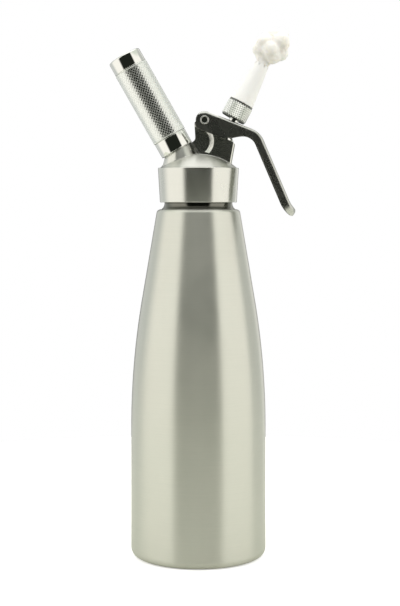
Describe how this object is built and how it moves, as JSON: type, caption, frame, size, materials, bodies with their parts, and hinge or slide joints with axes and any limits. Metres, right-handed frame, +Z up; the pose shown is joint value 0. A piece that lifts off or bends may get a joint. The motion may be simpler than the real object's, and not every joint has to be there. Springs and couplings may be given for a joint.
{
  "type": "whipped cream dispenser",
  "caption": "Tapered steel whipped cream dispenser with a screw-on head, lever valve, gas cartridge holder and decorating nozzle.",
  "frame": {"origin": "centre of the foot ring, on the surface the bottle stands on, below the bottle's axis", "axes": "+Z up along the bottle's axis, +X towards the lever and the nozzle, +Y away from someone who has the lever on their right"},
  "size_m": [0.1314, 0.095, 0.3721],
  "materials": {
    "bottle_steel": "satin, brushed round the body",
    "head_steel": "satin on the skirt and dome, polished on the tower",
    "bright_steel": "polished",
    "lever_steel": "dark polished",
    "knurled_steel": "knurled",
    "spring_steel": "plain wire",
    "cartridge_steel": "zinc plated",
    "seal_rubber": "matt",
    "nozzle_plastic": "satin white",
    "cream": "soft and matt"
  },
  "bodies": {
    "bottle": {"bottle": "bottle_steel"},
    "head_lift": {"head_gasket": "seal_rubber"},
    "head": {"head": "head_steel", "guide_bush": "bright_steel", "stem_seal": "seal_rubber", "pivot_pin": "bright_steel", "piercing_pin": "bright_steel", "pin_seal": "seal_rubber", "inlet_valve": "seal_rubber", "valve_spring": "spring_steel"},
    "lever": {"lever": "lever_steel", "lever_bushes": "bright_steel"},
    "valve": {"valve_stem": "bright_steel", "stem_collar": "bright_steel", "valve_disc": "bright_steel", "valve_disc_seal": "seal_rubber", "disc_screw": "bright_steel", "nozzle_adapter": "knurled_steel", "adapter_seal": "seal_rubber", "nozzle_tip": "nozzle_plastic", "cream_puff": "cream"},
    "cartridge": {"gas_cartridge": "cartridge_steel", "cartridge_seal": "cartridge_steel"},
    "holder": {"holder_tube": "bright_steel", "grip_sleeve": "knurled_steel", "holder_cap": "bright_steel", "cushion_pad": "seal_rubber"}
  },
  "joints": [
    {"name": "head_lift", "type": "slide", "parent": "bottle", "child": "head_lift", "axis": [0, 0, 1], "range_m": [0, 0.0181]},
    {"name": "head_turn", "type": "hinge", "parent": "head_lift", "child": "head", "pos_m": [0, 0, 0.2661], "axis": [0, 0, 1], "range_deg": [0, 1080]},
    {"name": "lever_squeeze", "type": "hinge", "parent": "head", "child": "lever", "pos_m": [0.0043, 0, 0.3069], "axis": [0, 1, 0], "range_deg": [0, 10], "stiffness_Nm_per_rad": 5, "springref_deg": -6.88},
    {"name": "valve_travel", "type": "slide", "parent": "head", "child": "valve", "axis": [-0.4741, 0, -0.8805], "range_m": [0, 0.0033], "deforming": ["valve_spring"]},
    {"name": "holder_lift", "type": "slide", "parent": "head", "child": "cartridge", "axis": [-0.4939, 0, 0.8695], "range_m": [0, 0.0131]},
    {"name": "holder_turn", "type": "hinge", "parent": "cartridge", "child": "holder", "pos_m": [-0.01502, 0, 0.28593], "axis": [-0.4939, 0, 0.8695], "range_deg": [0, 2340]}
  ],
  "couplings": [
    {"joint": "head_lift", "follows": "head_turn", "m_per_rad": 0.00095493},
    {"joint": "valve_travel", "follows": "lever_squeeze", "m_per_rad": 0.0182},
    {"joint": "holder_lift", "follows": "holder_turn", "m_per_rad": 0.00031831}
  ]
}
